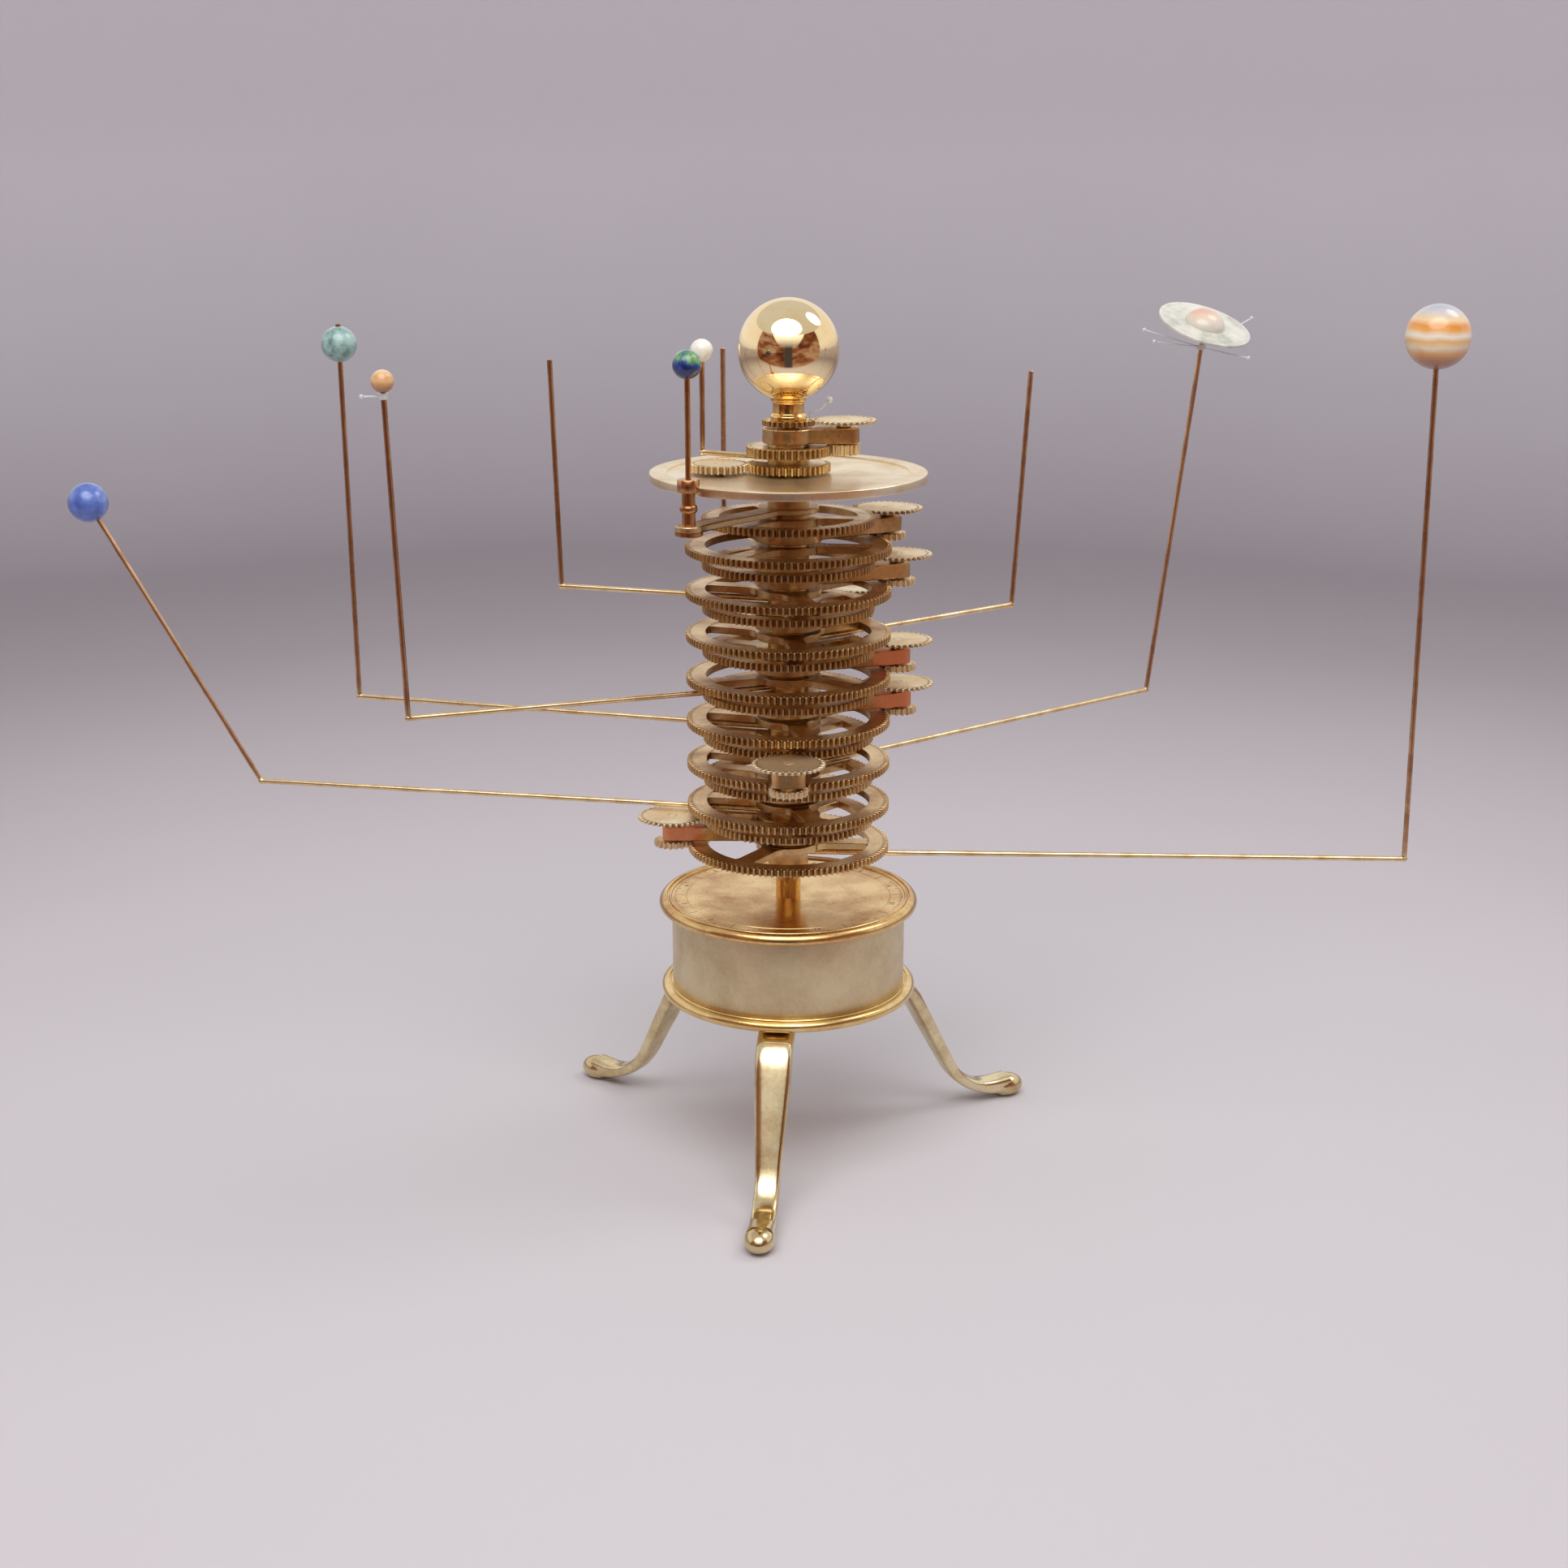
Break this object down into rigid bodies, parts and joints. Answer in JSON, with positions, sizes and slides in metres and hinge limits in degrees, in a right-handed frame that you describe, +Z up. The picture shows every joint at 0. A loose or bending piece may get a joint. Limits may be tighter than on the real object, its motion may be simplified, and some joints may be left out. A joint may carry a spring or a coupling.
{
  "type": "orrery",
  "caption": "Tabletop orrery: spoked gear wheels stacked on a fixed column over a round drum on cabriole legs, with bent rods that carry planet balls round a polished Sun.",
  "frame": {"origin": "middle of the whole outline, on the surface that the feet stand on", "axes": "+X to the right in the picture, the longest way across; +Y away from the viewer; +Z up"},
  "size_m": [0.5798, 0.297, 0.3615],
  "materials": {
    "polished_brass": "polished and lacquered",
    "satin_brass": "satin, turned",
    "brass": "aged brass, fine turned",
    "pale_brass": "pale satin",
    "rod_brass": "drawn rod, coppery",
    "steel": "plain",
    "banded_gloss": "glossy, banded",
    "blue_gloss": "glossy",
    "cream_gloss": "satin paint",
    "pale_green_gloss": "glossy",
    "tan_gloss": "glossy",
    "white_gloss": "glossy",
    "earth_gloss": "glossy",
    "clear_bead": "clear and white"
  },
  "bodies": {
    "stand": {"leg_front": "polished_brass", "leg_left": "polished_brass", "leg_right": "polished_brass", "leg_screws": "steel", "base_plate": "polished_brass", "drum_wall": "satin_brass", "dial_plate": "polished_brass", "column_tube": "brass", "idler_bars": "brass", "top_bar": "brass", "top_plate": "pale_brass", "motor": "steel"},
    "sun_shaft": {"drive_shaft": "brass", "mercury_gear": "brass", "mercury_bead": "clear_bead", "sun_neck": "polished_brass", "sun_ball": "polished_brass"},
    "motor_spindle": {"motor_pinion": "brass"},
    "venus_group": {"venus_wheel": "brass", "venus_arm": "rod_brass", "white_ball": "white_gloss"},
    "earth_group": {"earth_wheel": "brass", "earth_arm": "pale_brass", "earth_rod": "brass", "earth_ball": "earth_gloss"},
    "top_idler": {"idler_top": "pale_brass"},
    "plate_idler": {"idler_plate": "pale_brass"},
    "planet_1": {"wheel_1": "brass", "arm_1": "rod_brass", "banded_ball": "banded_gloss"},
    "idler_set_1": {"idler_1": "pale_brass"},
    "planet_2": {"wheel_2": "brass", "arm_2": "rod_brass", "blue_ball": "blue_gloss"},
    "idler_set_2": {"idler_2": "pale_brass"},
    "planet_3": {"wheel_3": "brass", "arm_3": "rod_brass", "ringed_ball": "cream_gloss", "ring_disc": "cream_gloss", "ringed_ball_moons": "clear_bead"},
    "idler_set_3": {"idler_3": "pale_brass"},
    "planet_4": {"wheel_4": "brass", "arm_4": "rod_brass", "pale_ball": "pale_green_gloss"},
    "idler_set_4": {"idler_4": "pale_brass"},
    "planet_5": {"wheel_5": "brass", "arm_5": "rod_brass", "tan_ball": "tan_gloss", "tan_ball_moon": "clear_bead"},
    "idler_set_5": {"idler_5": "pale_brass"},
    "planet_6": {"wheel_6": "brass", "arm_6": "rod_brass"},
    "idler_set_6": {"idler_6": "pale_brass"},
    "planet_7": {"wheel_7": "brass", "arm_7": "rod_brass"},
    "idler_set_7": {"idler_7": "pale_brass"},
    "planet_8": {"wheel_8": "brass", "arm_8": "rod_brass"},
    "idler_set_8": {"idler_8": "pale_brass"}
  },
  "joints": [
    {"name": "drive_turn", "type": "hinge", "parent": "stand", "child": "sun_shaft", "pos_m": [0.02107, -0.03369, 0.1], "axis": [0, 0, 1], "continuous": true},
    {"name": "motor_turn", "type": "hinge", "parent": "stand", "child": "motor_spindle", "pos_m": [-0.00144, -0.02069, 0.1], "axis": [0, 0, 1], "continuous": true},
    {"name": "top_idler_turn", "type": "hinge", "parent": "stand", "child": "top_idler", "pos_m": [0.04339, -0.03174, 0.1], "axis": [0, 0, 1], "continuous": true},
    {"name": "venus_turn", "type": "hinge", "parent": "stand", "child": "venus_group", "pos_m": [0.02107, -0.03369, 0.1], "axis": [0, 0, 1], "continuous": true},
    {"name": "plate_idler_turn", "type": "hinge", "parent": "stand", "child": "plate_idler", "pos_m": [-0.00693, -0.03369, 0.1], "axis": [0, 0, 1], "continuous": true},
    {"name": "earth_turn", "type": "hinge", "parent": "stand", "child": "earth_group", "pos_m": [0.02107, -0.03369, 0.1], "axis": [0, 0, 1], "continuous": true},
    {"name": "idler_1_turn", "type": "hinge", "parent": "stand", "child": "idler_set_1", "pos_m": [-0.02773, -0.03369, 0.1], "axis": [0, 0, 1], "continuous": true},
    {"name": "planet_1_turn", "type": "hinge", "parent": "stand", "child": "planet_1", "pos_m": [0.02107, -0.03369, 0.1], "axis": [0, 0, 1], "continuous": true},
    {"name": "idler_2_turn", "type": "hinge", "parent": "stand", "child": "idler_set_2", "pos_m": [0.0126, 0.01437, 0.1], "axis": [0, 0, 1], "continuous": true},
    {"name": "planet_2_turn", "type": "hinge", "parent": "stand", "child": "planet_2", "pos_m": [0.02107, -0.03369, 0.1], "axis": [0, 0, 1], "continuous": true},
    {"name": "idler_3_turn", "type": "hinge", "parent": "stand", "child": "idler_set_3", "pos_m": [0.02107, -0.08249, 0.1], "axis": [0, 0, 1], "continuous": true},
    {"name": "planet_3_turn", "type": "hinge", "parent": "stand", "child": "planet_3", "pos_m": [0.02107, -0.03369, 0.1], "axis": [0, 0, 1], "continuous": true},
    {"name": "idler_4_turn", "type": "hinge", "parent": "stand", "child": "idler_set_4", "pos_m": [0.06749, -0.01861, 0.1], "axis": [0, 0, 1], "continuous": true},
    {"name": "planet_4_turn", "type": "hinge", "parent": "stand", "child": "planet_4", "pos_m": [0.02107, -0.03369, 0.1], "axis": [0, 0, 1], "continuous": true},
    {"name": "idler_5_turn", "type": "hinge", "parent": "stand", "child": "idler_set_5", "pos_m": [0.06693, -0.017, 0.1], "axis": [0, 0, 1], "continuous": true},
    {"name": "planet_5_turn", "type": "hinge", "parent": "stand", "child": "planet_5", "pos_m": [0.02107, -0.03369, 0.1], "axis": [0, 0, 1], "continuous": true},
    {"name": "idler_6_turn", "type": "hinge", "parent": "stand", "child": "idler_set_6", "pos_m": [0.04976, 0.00579, 0.1], "axis": [0, 0, 1], "continuous": true},
    {"name": "planet_6_turn", "type": "hinge", "parent": "stand", "child": "planet_6", "pos_m": [0.02107, -0.03369, 0.1], "axis": [0, 0, 1], "continuous": true},
    {"name": "idler_7_turn", "type": "hinge", "parent": "stand", "child": "idler_set_7", "pos_m": [0.06632, -0.01541, 0.1], "axis": [0, 0, 1], "continuous": true},
    {"name": "planet_7_turn", "type": "hinge", "parent": "stand", "child": "planet_7", "pos_m": [0.02107, -0.03369, 0.1], "axis": [0, 0, 1], "continuous": true},
    {"name": "idler_8_turn", "type": "hinge", "parent": "stand", "child": "idler_set_8", "pos_m": [0.06246, -0.00783, 0.1], "axis": [0, 0, 1], "continuous": true},
    {"name": "planet_8_turn", "type": "hinge", "parent": "stand", "child": "planet_8", "pos_m": [0.02107, -0.03369, 0.1], "axis": [0, 0, 1], "continuous": true}
  ],
  "couplings": [
    {"joint": "motor_turn", "follows": "drive_turn", "ratio": -3.3333},
    {"joint": "top_idler_turn", "follows": "drive_turn", "ratio": -0.80645},
    {"joint": "venus_turn", "follows": "drive_turn", "ratio": 0.29504},
    {"joint": "plate_idler_turn", "follows": "drive_turn", "ratio": -0.41713},
    {"joint": "earth_turn", "follows": "drive_turn", "ratio": 0.17877},
    {"joint": "idler_1_turn", "follows": "drive_turn", "ratio": -0.0012122},
    {"joint": "planet_1_turn", "follows": "drive_turn", "ratio": 0.00020981},
    {"joint": "idler_2_turn", "follows": "drive_turn", "ratio": -0.0028177},
    {"joint": "planet_2_turn", "follows": "drive_turn", "ratio": 0.00048767},
    {"joint": "idler_3_turn", "follows": "drive_turn", "ratio": -0.0065493},
    {"joint": "planet_3_turn", "follows": "drive_turn", "ratio": 0.0011335},
    {"joint": "idler_4_turn", "follows": "drive_turn", "ratio": -0.015223},
    {"joint": "planet_4_turn", "follows": "drive_turn", "ratio": 0.0026348},
    {"joint": "idler_5_turn", "follows": "drive_turn", "ratio": -0.035385},
    {"joint": "planet_5_turn", "follows": "drive_turn", "ratio": 0.0061243},
    {"joint": "idler_6_turn", "follows": "drive_turn", "ratio": -0.082248},
    {"joint": "planet_6_turn", "follows": "drive_turn", "ratio": 0.014235},
    {"joint": "idler_7_turn", "follows": "drive_turn", "ratio": -0.19118},
    {"joint": "planet_7_turn", "follows": "drive_turn", "ratio": 0.033088},
    {"joint": "idler_8_turn", "follows": "drive_turn", "ratio": -0.44437},
    {"joint": "planet_8_turn", "follows": "drive_turn", "ratio": 0.07691}
  ]
}
